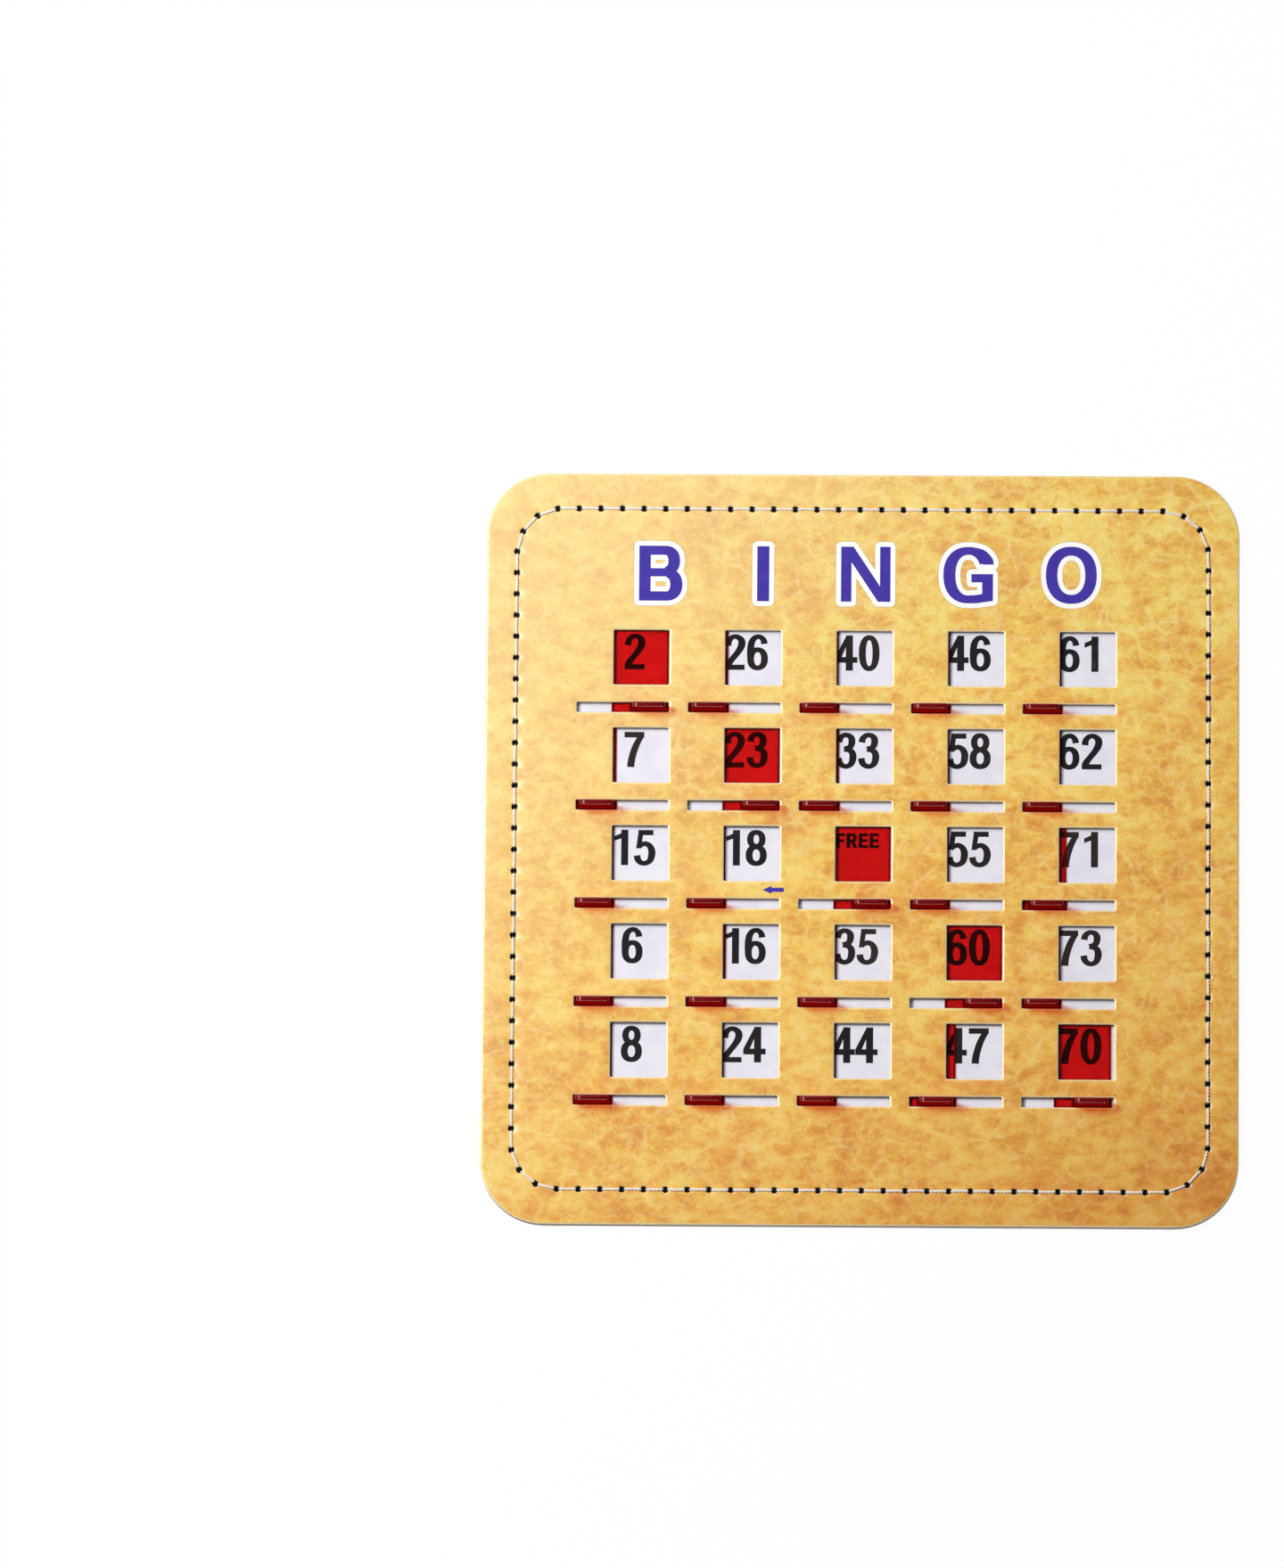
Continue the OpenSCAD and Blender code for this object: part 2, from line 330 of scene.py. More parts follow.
def number_ink():
    """Screen-printed black, rubbed a little by the shutters."""
    s = Shader("number_ink")
    rubbed = s.noise(1, 4, 0.7, 0.4, s.scaled(2600, 420, 100))
    colour = s.ramp(s.noise(24, 1), (0.45, rgb(18, 18, 22)), (0.62, rgb(42, 28, 27)))
    where_rubbed = s.fit(s.noise(30, 1, 0.5), 0.50, 0.74, 0.0, 0.5)
    share = s.times(s.fit(rubbed, 0.52, 0.78), where_rubbed)
    colour = s.blend(share, colour, rgb(150, 148, 156))
    return s.surface(colour, 0.6, rubbed, 0.006, 0.5, 0.15)


def flat_ink(name, main, second, amount):
    """Ink on the face: two close colours, and a share of specks where the paper shows."""
    s = Shader(name)
    specks = s.noise(2400, 3, 0.7)
    colour = s.ramp(s.noise(260, 3), (0.35, main), (0.7, second))
    colour = s.blend(s.fit(specks, 0.60, 0.78, 0.0, amount), colour, rgb(236, 214, 160))
    return s.surface(colour, 0.5, specks, 0.008, 0.5, 0.15)


def thread_cotton():
    """Cotton thread: fine fibres that wind round the strands."""
    s = Shader("thread_cotton")
    fibres = s.noise(1, 4, 0.7, 1.0, s.scaled(5200, 5200, 5200))
    soil = s.noise(60, 2)
    colour = s.ramp(
        fibres,
        (0.25, rgb(238, 216, 202)),
        (0.5, rgb(252, 240, 232)),
        (0.8, rgb(255, 251, 247)),
    )
    colour = s.blend(s.fit(soil, 0.45, 0.75, 0.0, 0.2), colour, rgb(236, 206, 176))
    # Painted shade where the thread dives into a hole.
    colour = s.blend(s.mark(), colour, HOLE_SHADE)
    s.set(Sheen_Weight=0.25, Sheen_Roughness=0.5)
    s.set(Subsurface_Weight=0.5, Subsurface_Radius=(1, 0.9, 0.8), Subsurface_Scale=0.25 * MM)
    return s.surface(colour, 0.8, fibres, 0.03, 0.5, 0.25)


def red_plastic():
    """See-through red plastic: the deeper the plastic, the darker its red."""
    s = Shader("shutter_red")
    streaks = s.noise(1, 3, 0.6, 0.6, s.scaled(1500, 120, 400))
    haze = s.noise(160, 3)
    s.set(Base_Color=(1, 1, 1, 1), IOR=1.32, Transmission_Weight=1.0)
    s.set(Roughness=s.fit(haze, 0.35, 0.75, 0.03, 0.08), Normal=s.bump(streaks, 0.008, 0.18))
    s.let_lamps_through((1, 1, 1, 1))
    taken = s.add("ShaderNodeVolumeAbsorption", {"Color": (0.813, 0.0, 0.0, 1), "Density": 5400})
    s.join(taken.outputs[0], s.out.inputs["Volume"])
    return s.mat


def tab_plastic():
    """Red plastic with painted light: its top and rims are painted dark and its broad sides bright,
    standing in for light that shines through the thin plastic.

    The edge mark is 0 on broad sides, 0.5 on rims, 0.75 along the upper front edge and 1 on top."""
    s = Shader("tab_red")
    streaks = s.noise(1, 3, 0.6, 0.4, s.scaled(300, 2400, 500))
    painted_dark_rims = s.ramp(s.noise(500, 3), (0.35, rgb(98, 5, 9)), (0.7, rgb(126, 9, 14)))
    mark = s.mark()
    # Painted light: bright red on the broad sides, dark red on the rims and top.
    colour = s.blend(s.fit(mark, 0.0, 0.45, 1.0, 0.0), painted_dark_rims, rgb(178, 15, 13))
    # A painted highlight along the tab's upper front edge.
    painted_highlight = s.ramp(mark, (0.62, (0, 0, 0)), (0.75, (1, 1, 1)), (0.95, (0, 0, 0)))
    colour = s.blend(painted_highlight, colour, rgb(214, 112, 108))
    s.let_lamps_through((0.82, 0.42, 0.30, 1))
    return s.surface(colour, 0.22, streaks, 0.006, 0.5, s.fit(mark, 0.55, 0.95, 0.0, 0.17))


def towards(a):
    """The direction at an angle, in the plane."""
    return Vector((cos(a), sin(a)))


def left_of(way):
    return Vector((-way.y, way.x))


# Mesh helpers. A needle hole's edge takes a share of the depth that other edges take.
HOLE_DEPTH, SEAM_ROWS = 0.55, 2


def new_piece(name, verts, faces, mats, kinds=None, marks=None, smooth=35):
    """A mesh object from millimetre points, with each face's material in kinds, each point's
    edge mark in marks, and sharp edges from smooth degrees on."""
    mesh = bpy.data.meshes.new(name)
    mesh.from_pydata([(x * MM, y * MM, z * MM) for x, y, z in verts], [], faces)
    for mat in mats:
        mesh.materials.append(mat)
    if kinds:
        mesh.polygons.foreach_set("material_index", kinds)
    if marks:
        layer = mesh.attributes.new("edge", "FLOAT", "POINT")
        layer.data.foreach_set("value", marks)
    mesh.shade_smooth()
    mesh.set_sharp_from_angle(angle=radians(smooth))
    mesh.validate()
    return add_object(name, mesh)


def rounded_loop(cx, cy, w, h, r, step, arc=4, inward=False, counts=None):
    """Points round a rectangle with round corners, each with the way into the material.

    Its sides are cut by step or in counts, and its corners in arc parts. The material lies
    outside the loop, or inward."""
    loop = []
    sides = [(w - 2 * r, h / 2), (h - 2 * r, w / 2)] * 2
    for quarter, (length, out) in enumerate(sides):
        a = radians(90 * quarter - 90)
        normal = towards(a)
        along = left_of(normal)
        count = counts[quarter % 2] if counts else max(1, round(length / step))
        for i in range(count):
            loop.append((normal * out + along * (length * (i / count - 0.5)), normal))
        painted_highlight = normal * (out - r) + along * (length / 2)
        for i in range(arc):
            n = towards(a + pi / 2 * i / arc)
            loop.append((painted_highlight + n * r, n))
    sign = -1 if inward else 1
    centre = Vector((cx, cy))
    return [(p + centre, n * sign) for p, n in loop]


def needle_hole(centre, along, rnd):
    """A needle's hole, a little longer along the seam and ragged."""
    longer, ragged, sides = 0.1, 0.07, 16
    loop = []
    side = left_of(along)
    wobble = [rnd.uniform(-ragged, ragged) for _ in range(sides)]
    for i, w in enumerate(wobble):
        a = 2 * pi * i / sides
        n = along * cos(a) + side * sin(a)
        p = centre + along * (cos(a) * (HOLE_R + longer + w)) + side * (sin(a) * (HOLE_R + w))
        loop.append((p, n))
    return loop


def fill(rings, extra):
    """The ring points' new numbers, all new points, and the triangles between the first ring
    and the others, which go through the extra points."""
    points, faces = [], []
    for ring in rings:
        faces.append(list(range(len(points), len(points) + len(ring))))
        points += ring
    count = len(points)
    points += extra
    out, _, tris, came, _, inside = delaunay_2d_cdt(points, [], faces, 0, 1e-6)
    new_of = {}
    for new, olds in enumerate(came):
        for old in olds:
            new_of[old] = new
    kept = [t for t, f in zip(tris, inside) if list(f) == [0]]
    return [new_of[i] for i in range(count)], out, kept


def seam_distance(x, y):
    """How far a place lies from the seam, a rectangle with round corners."""
    qx = abs(x - (SEAM_X0 + SEAM_X1) / 2) - ((SEAM_X1 - SEAM_X0) / 2 - SEAM_R)
    qy = abs(y - (SEAM_Y0 + SEAM_Y1) / 2) - ((SEAM_Y1 - SEAM_Y0) / 2 - SEAM_R)
    out = hypot(max(qx, 0), max(qy, 0)) + min(max(qx, qy), 0) - SEAM_R
    return abs(out)


def seam_points():
    """Where the needle went in, and the way the seam runs there."""
    sides = [SEAM_X1 - SEAM_X0 - 2 * SEAM_R, SEAM_Y1 - SEAM_Y0 - 2 * SEAM_R]
    quarter = pi * SEAM_R / 2
    total = 2 * sum(sides) + 4 * quarter
    count = round(total / STITCH_L)
    starts = [
        (SEAM_X0 + SEAM_R, SEAM_Y0),
        (SEAM_X1, SEAM_Y0 + SEAM_R),
        (SEAM_X1 - SEAM_R, SEAM_Y1),
        (SEAM_X0, SEAM_Y1 - SEAM_R),
    ]
    found = []
    for i in range(count):
        s, side = total * i / count, 0
        while side < 3 and s > sides[side % 2] + quarter:
            s -= sides[side % 2] + quarter
            side += 1
        ahead = towards(pi / 2 * side)
        left = left_of(ahead)
        straight = sides[side % 2]
        p = Vector(starts[side]) + ahead * min(s, straight)
        if s > straight:
            turned = (s - straight) / SEAM_R
            centre = p + left * SEAM_R
            p = centre - left * (SEAM_R * cos(turned)) + ahead * (SEAM_R * sin(turned))
            ahead = ahead * cos(turned) + left * sin(turned)
        found.append((p, ahead))
    return found


STITCHES = seam_points()
PAIRS = list(zip(STITCHES, STITCHES[1:] + STITCHES[:1]))


def cell(x, y):
    """A place's cell in a coarse grid."""
    width = 4
    return int(x // width), int(y // width)


# The needle holes in and next to each cell
NEAR_HOLES = {}
for p, _ in STITCHES:
    column, row = cell(p.x, p.y)
    for i in (-1, 0, 1):
        for j in (-1, 0, 1):
            NEAR_HOLES.setdefault((column + i, row + j), []).append(p)


def near_hole(x, y):
    """Distance to the nearest needle hole, or far where none is near."""
    here, far = Vector((x, y)), 9.0
    return min(((here - p).length for p in NEAR_HOLES.get(cell(x, y), [])), default=far)


def openings():
    """The loops of all windows and slots.

    A window's upper and left edges and a slot's upper edge bulge inwards a little."""
    loops = []
    bulge, slot_bulge = 0.28, 0.2
    side, slot_w = WINDOW - bulge, SLOT_W - slot_bulge
    r, step = 0.3, 1.3
    for (wx, wy), (sx, sy) in zip(WINDOWS, SLOTS):
        loops.append(rounded_loop(wx + bulge / 2, wy - bulge / 2, side, side, r, step))
        loops.append(rounded_loop(sx, sy - slot_bulge / 2, SLOT_L, slot_w, r, step))
    return loops


def in_opening(x, y, room):
    """Whether a place lies in a window or slot, or nearer than room to one."""
    for (wx, wy), (sx, sy) in zip(WINDOWS, SLOTS):
        if max(abs(x - wx), abs(y - wy)) < WINDOW / 2 + room:
            return True
        if abs(x - sx) < SLOT_L / 2 + room and abs(y - sy) < SLOT_W / 2 + room:
            return True
    return False


def grid_points(step, rnd):
    """Points all over a ply, a little off a square grid."""
    points, off = [], 0.2
    nx, ny = int(CARD_W / step), int(CARD_H / step)
    for i in range(nx):
        for j in range(ny):
            x = -CARD_W / 2 + CARD_W * (i + 0.5) / nx + rnd.uniform(-off, off) * step
            y = -CARD_H / 2 + CARD_H * (j + 0.5) / ny + rnd.uniform(-off, off) * step
            points.append((x, y))
    return points


def seam_rows(step):
    """Points in rows beside the seam, SEAM_ROWS on each side and one along it."""
    points, parts = [], 6
    for k in range(-SEAM_ROWS, SEAM_ROWS + 1):
        for (p, a), (q, b) in PAIRS:
            for m in range(parts):
                c = p.lerp(q, m / parts)
                w = a.lerp(b, m / parts).normalized()
                n = left_of(w)
                points.append((c.x + n.x * (k * step), c.y + n.y * (k * step)))
    return points


def inner_points(step, seam_step, keep, rnd):
    """Points inside a ply's face, clear of its edges, which take keep."""
    outer_room, rows_room, hole_room, opening_room = 0.5, 0.7, 0.35, 0.3
    qx, qy = CARD_W / 2 - CORNER_R, CARD_H / 2 - CORNER_R
    grid = grid_points(step, rnd)
    rows = seam_rows(seam_step) if seam_step else []
    band = SEAM_ROWS * seam_step + rows_room if seam_step else 0
    points = [p for p in grid if seam_distance(*p) >= band] + rows
    return [
        Vector((x, y))
        for x, y in points
        if hypot(max(abs(x) - qx, 0), max(abs(y) - qy, 0)) <= CORNER_R - keep - outer_room
        and near_hole(x, y) >= HOLE_R + keep * 0.6 + hole_room
        and not in_opening(x, y, keep + opening_room)
    ]


def ply(name, mats, levels, hole_marks, top_z, grid, low_z=None, lows=0, seam_grid=0.0):
    """One ply with all its openings, from levels of (depth, height, mark, material).

    The first level bounds the upper face and the last the lower one. A level's rings lie depth
    into the ply, and height above top_z, or above low_z for the last lows. hole_marks are the
    needle holes' marks. Points stand grid apart, and seam_grid across the seam."""
    rnd = random.Random(7)
    outer = rounded_loop(0, 0, CARD_W, CARD_H, CORNER_R, 2.2, 20, inward=True)
    loops = [outer] + openings()
    first_hole = len(loops)
    loops += [needle_hole(p, a, rnd) for p, a in STITCHES]
    verts, marks, faces, kinds = [], [], [], []

    def rings_at(depth):
        shares = [1.0] * first_hole + [HOLE_DEPTH] * len(STITCHES)
        return [[p + n * depth * share for p, n in loop] for loop, share in zip(loops, shares)]

    def ring_marks(number):
        edge, hole = levels[number][2], hole_marks[number]
        return [hole if i >= first_hole else edge for i, loop in enumerate(loops) for _ in loop]

    def put(points, number):
        start, dz = len(verts), levels[number][1]
        place = low_z if number >= len(levels) - lows else top_z
        verts.extend([(v.x, v.y, place(v.x, v.y) + dz) for v in points])
        return range(start, len(verts))

    def flat(number, step, seam_step):
        depth, _, _, kind = levels[number]
        points = inner_points(step, seam_step, depth, rnd)
        order, out, tris = fill(rings_at(depth), points)
        ids = put(out, number)
        marks.extend([0.0] * len(out))
        faces.extend([tuple(ids[i] for i in t) for t in tris])
        kinds.extend([kind] * len(tris))
        edge = [ids[i] for i in order]
        for i, value in zip(edge, ring_marks(number)):
            marks[i] = value
        return edge

    previous = flat(0, grid, seam_grid)
    for number in range(1, len(levels) - 1):
        depth, _, _, kind = levels[number]
        ids = put([v for ring in rings_at(depth) for v in ring], number)
        marks.extend(ring_marks(number))
        join_rings(previous, ids, loops, faces, kinds, kind)
        previous = ids
    last = flat(len(levels) - 1, grid * 2.5, 0)
    join_rings(previous, last, loops, faces, kinds, levels[-1][3])
    piece = new_piece(name, verts, faces, mats, kinds, marks)
    fix_normals(piece)
    return piece


def join_rings(a, b, loops, faces, kinds, kind):
    """Faces between two levels' rings, whose points have the numbers a and b."""
    start = 0
    for loop in loops:
        n = len(loop)
        for i in range(n):
            j = (i + 1) % n
            faces.append((a[start + i], a[start + j], b[start + j], b[start + i]))
            kinds.append(kind)
        start += n


def fix_normals(piece):
    """Turns all faces outwards, and joins points that fell together."""
    bm = bmesh.new()
    bm.from_mesh(piece.data)
    bmesh.ops.remove_doubles(bm, verts=bm.verts, dist=1e-7)
    bmesh.ops.recalc_face_normals(bm, faces=bm.faces)
    bm.to_mesh(piece.data)
    bm.free()
    piece.data.set_sharp_from_angle(angle=radians(38))


def face_z(x, y):
    """The face's height. It waves a little, and dips under the seam and round its holes."""
    wave_l, wave_high, mean = 38, 0.035, FACE_TOP - 0.03
    seam_high, dimple_high, dimple_w = 0.02, 0.06, 1.25
    wave = noise.noise(Vector((x / wave_l, y / wave_l, 0.3))) * wave_high
    seam = exp(-(seam_distance(x, y) ** 2)) * seam_high
    dimple = exp(-((near_hole(x, y) / dimple_w) ** 2)) * dimple_high
    return mean + wave - seam - dimple


def board_z(x, y):
    return face_z(x, y) - FACE_T


# The card
add_camera()
TAN = tan_paper()
GREY = board("grey_board", rgb(176, 160, 146), rgb(120, 102, 90), rgb(204, 190, 176))
WALL = board("cut_board", rgb(196, 162, 136), rgb(148, 116, 94), rgb(220, 190, 162))
COVER = cover_board()
WHITE = white_paper()

face = ply(
    "face_paper",
    [TAN, WALL],
    [
        (0.62, 0.0, 0.0, 0),
        (0.40, -0.025, 0.35, 0),
        (0.22, -0.09, 0.8, 0),
        (0.09, -0.20, 1.0, 0),
        (0.02, -0.34, 1.0, 0),
        (0.00, -0.46, 0.9, 0),
        (0.14, -0.47, 0.0, 1),
        (0.24, -0.30, 0.0, 1),
        (0.66, -0.19, 0.0, 1),
    ],
    (0.0, 0.2, 0.5, 1.1) + (2.0,) * 5,
    face_z,
    grid=2.6,
    seam_grid=0.55,
)
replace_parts(face, "face_sheet")
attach(face, "card")

front = ply(
    "punched_board",
    [WALL, GREY],
    [
        (0.70, -0.01, 0.0, 0),
        (0.28, -0.12, 0.0, 0),
        (0.18, -0.29, 0.0, 0),
        (0.03, -0.30, 0.0, 0),
        (0.00, 0.35, 0.0, 0),
        (0.04, 0.20, 0.0, 0),
        (0.0, 0.0, 0.0, 0),
    ],
    (2.0,) * 7,
    board_z,
    grid=7.0,
    low_z=lambda x, y: GUIDE_Z,
    lows=3,
)
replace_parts(front, "front_board")
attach(front, "card")

for node, mat in (
    ("shutter_guide", GREY),
    ("number_sheet", WHITE),
    ("backing_board", GREY),
    ("back_cover", COVER),
):
    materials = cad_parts[node].data.materials
    materials.clear()
    materials.append(mat)


# Threads: two strands wound round each other and pressed flat, and a lock in each hole
STRAND_R, TWIST_R, TWIST_PITCH, STRAND_SIDES, STRAND_FLAT = 0.26, 0.13, 1.9, 7, 0.62
STITCH_IN, STITCH_BEND, LEG_SHARE = 0.84, 0.24, 0.55
LOCK_R, LOCK_Z, LOCK_HIGH = 0.76, 1.75, 0.35


def stitch_path(p, q, run_z, deep_z, sign, sway, arch):
    """The way of one stitch: out of the hole at p, over the card and into the hole at q."""
    along, length = (q - p).normalized(), (q - p).length
    side = left_of(along)
    bends, cuts = 5, 9
    legs = [(STITCH_IN, deep_z), (STITCH_IN, deep_z + (run_z - deep_z) * LEG_SHARE)]
    for k in range(1, bends):
        a = pi / 2 * k / bends
        x = STITCH_IN + STITCH_BEND * (1 - cos(a))
        legs.append((x, run_z - sign * STITCH_BEND * (1 - sin(a))))
    path = [(x, 0.0, z) for x, z in legs]
    for k in range(cuts + 1):
        t = k / cuts
        x = STITCH_IN + STITCH_BEND + (length - 2 * STITCH_IN - 2 * STITCH_BEND) * t
        rise = sin(pi * t)
        path.append((x, sway * rise, run_z + sign * arch * rise))
    path += [(length - x, 0.0, z) for x, z in reversed(legs)]
    return [
        Vector((p.x + along.x * x + side.x * y, p.y + along.y * x + side.y * y, z))
        for x, y, z in path
    ]


def add_strand(verts, faces, frames, turned):
    """One strand along the frames, wound round their middle from the angle turned."""
    start, run, sides = len(verts), 0.0, STRAND_SIDES
    for k, (c, u, v) in enumerate(frames):
        if k:
            run += (c - frames[k - 1][0]).length
        a = turned + 2 * pi * run / TWIST_PITCH
        mid = c + (u * cos(a) + v * sin(a)) * TWIST_R
        for m in range(sides):
            b = 2 * pi * m / sides
            off = mid + (u * cos(b) + v * sin(b)) * STRAND_R - c
            verts.append(c + Vector((off.x, off.y, off.z * STRAND_FLAT)))
    for k in range(len(frames) - 1):
        a, b = start + k * sides, start + (k + 1) * sides
        for m in range(sides):
            m2 = (m + 1) % sides
            faces.append((a + m, a + m2, b + m2, b + m))
    faces.append(tuple(start + m for m in reversed(range(sides))))
    end = start + (len(frames) - 1) * sides
    faces.append(tuple(end + m for m in range(sides)))


def sewn_thread(name, run_z, deep_z, sign):
    """A thread that runs at run_z and dives to deep_z into each hole, where its edge marks
    paint it with the hole's shade. sign is 1 on the face and -1 on the back."""
    rnd = random.Random(11 if sign > 0 else 12)
    verts, faces, marks = [], [], []
    shade_from, shade_over = 0.03, 0.15
    for (p, _), (q, _) in PAIRS:
        sway, arch = rnd.uniform(-0.10, 0.10), rnd.uniform(0.02, 0.09)
        frames = path_frames(smooth_path(stitch_path(p, q, run_z, deep_z, sign, sway, arch), 2))
        phase = rnd.uniform(0, 2 * pi)
        depths = [(sign * (run_z - c.z) - shade_from) / shade_over for c, _, _ in frames]
        for strand in (0, pi):
            add_strand(verts, faces, frames, phase + strand)
            marks += [min(max(depth, 0), 1) for depth in depths for _ in range(STRAND_SIDES)]
    if sign > 0:
        for p, _ in STITCHES:
            add_lock(verts, faces, marks, p)
    piece = new_piece(name, verts, faces, [THREAD], marks=marks, smooth=70)
    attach(piece, "card")
    return piece


def add_lock(verts, faces, marks, centre):
    """The loops of both threads, pulled tight round each other in the middle of a hole."""
    start, rings, sides = len(verts), 5, 10
    for i in range(1, rings):
        a = pi * i / rings
        r, z = LOCK_R * sin(a), LOCK_Z + LOCK_HIGH * cos(a)
        for k in range(sides):
            b = 2 * pi * k / sides
            verts.append((centre.x + r * cos(b), centre.y + r * sin(b), z))
    verts.append((centre.x, centre.y, LOCK_Z + LOCK_HIGH))
    verts.append((centre.x, centre.y, LOCK_Z - LOCK_HIGH))
    # The lock is painted all over with the hole's shade.
    marks.extend([1.0] * (sides * (rings - 1) + 2))
    top, low = len(verts) - 2, len(verts) - 1
    last = start + (rings - 2) * sides
    for k in range(sides):
        k2 = (k + 1) % sides
        faces.append((top, start + k, start + k2))
        faces.append((low, last + k2, last + k))
        for i in range(rings - 2):
            a, b = start + i * sides, start + (i + 1) * sides
            faces.append((a + k, b + k, b + k2, a + k2))


def smooth_path(points, cuts):
    """Catmull-Rom points through a path."""
    out, n = [], len(points)
    for i in range(n - 1):
        p0, p1, p2, p3 = (points[min(max(i + k, 0), n - 1)] for k in (-1, 0, 1, 2))
        for k in range(cuts):
            t = k / cuts
            square = (2 * p0 - 5 * p1 + 4 * p2 - p3) * t * t
            cube = (3 * p1 - p0 - 3 * p2 + p3) * t**3
            out.append(0.5 * (2 * p1 + (p2 - p0) * t + square + cube))
    out.append(points[-1])
    return out


def path_frames(points):
    """Each point with two square directions that turn as little as they can."""
    frames, up = [], None
    for i, p in enumerate(points):
        ahead = (points[min(i + 1, len(points) - 1)] - points[max(i - 1, 0)]).normalized()
        if up is None:
            up = ahead.orthogonal().normalized()
        up = (up - ahead * up.dot(ahead)).normalized()
        frames.append((p, up, ahead.cross(up)))
    return frames


THREAD = thread_cotton()
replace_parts(sewn_thread("needle_stitches", 3.67, 1.95, 1), "needle_thread")
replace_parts(sewn_thread("bobbin_stitches", 0.50, 1.55, -1), "bobbin_thread")


# Print. A glyph is the union of parts of three kinds.
def shape(*points):
    """A convex shape."""
    return ("shape", points)


def box(x0, y0, x1, y1):
    return shape((x0, y0), (x1, y0), (x1, y1), (x0, y1))


def stroke(*points):
    """A curved stroke through points (x, y, width)."""
    return ("stroke", points)


def arc(cx, cy, rx, ry, tx, ty, a0=0, a1=360, power=2.25):
    """Part of a ring with outer radii rx and ry, tx and ty thick. power squares it up."""
    return ("arc", cx, cy, rx, ry, tx, ty, a0, a1, power)


def curve_sides(part, grow):
    """Left and right points along a stroke or arc."""
    left, right = [], []
    if part[0] == "stroke":
        fine = smooth_path([Vector(p) for p in part[1]], 4)
        for i, p in enumerate(fine):
            way = (fine[min(i + 1, len(fine) - 1)] - fine[max(i - 1, 0)]).xy.normalized()
            n = left_of(way) * (p.z / 2 + grow)
            left.append(p.xy + n)
            right.append(p.xy - n)
        return left, right
    _, cx, cy, rx, ry, tx, ty, a0, a1, power = part
    cut, least_count, least_r = 9, 6, 0.02
    count = max(least_count, int(abs(a1 - a0) / cut))
    radii = [(left, rx + grow, ry + grow), (right, rx - tx - grow, ry - ty - grow)]
    for i in range(count + 1):
        a = radians(a0 + (a1 - a0) * i / count)
        c, s = cos(a), sin(a)
        k = (abs(c) ** power + abs(s) ** power) ** (-1 / power)
        for side, ax, ay in radii:
            side.append(Vector((cx + max(ax, least_r) * c * k, cy + max(ay, least_r) * s * k)))
    return left, right


def grown(points, by):
    """The outline of a convex shape with round corners round it."""
    if not by:
        return [Vector(p) for p in points]
    cloud, sides = [], 16
    for p in points:
        for i in range(sides):
            a = 2 * pi * i / sides
            cloud.append(Vector((p[0] + by * cos(a), p[1] + by * sin(a))))
    return [cloud[i] for i in convex_hull_2d(cloud)]


def glyph_mesh(parts, grow=0.0):
    """The points and triangles of the union of a glyph's parts, grown all round."""
    points, faces = [], []

    def put(outline):
        if sum(a.x * b.y - b.x * a.y for a, b in zip(outline, outline[1:] + outline[:1])) < 0:
            outline = outline[::-1]
        faces.append(list(range(len(points), len(points) + len(outline))))
        points.extend(outline)

    for part in parts:
        if part[0] == "shape":
            put(grown(part[1], grow))
            continue
        left, right = curve_sides(part, grow)
        for i in range(len(left) - 1):
            put([left[i], left[i + 1], right[i + 1], right[i]])
        whole_ring = part[0] == "arc" and abs(part[8] - part[7]) >= 360
        if grow and not whole_ring:
            core_left, core_right = curve_sides(part, 0)
            for end in (0, -1):
                put(grown([core_left[end], core_right[end]], grow))
    out, _, tris, _, _, inside = delaunay_2d_cdt(points, [], faces, 0, 1e-5)
    kept = [t for t, f in zip(tris, inside) if len(f)]
    used = sorted({i for t in kept for i in t})
    new = {old: k for k, old in enumerate(used)}
    return [out[i] for i in used], [tuple(new[i] for i in t) for t in kept]


def printed(name, items, base, ink_z, mat, warp=None):
    """Ink as thin solids, from items of (flat mesh, x, y).

    ink_z gives its underside and top above the base. Edges of one triangle alone get walls."""
    verts, faces = [], []
    for (flat, tris), x, y in items:
        start, n = len(verts), len(flat)
        for z in reversed(ink_z):
            for v in flat:
                px, py = x + v.x, y + v.y
                verts.append((px, py, base + z + (warp(px, py) if warp else 0)))
        for t in tris:
            faces.append(tuple(start + i for i in t))
            faces.append(tuple(start + n + i for i in reversed(t)))
        edges = {(t[i], t[(i + 1) % 3]): True for t in tris for i in range(3)}
        for a, b in edges:
            if (b, a) not in edges:
                faces.append((start + b, start + a, start + n + a, start + n + b))
    piece = new_piece(name, verts, faces, [mat], smooth=30)
    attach(piece, "card")
    return piece


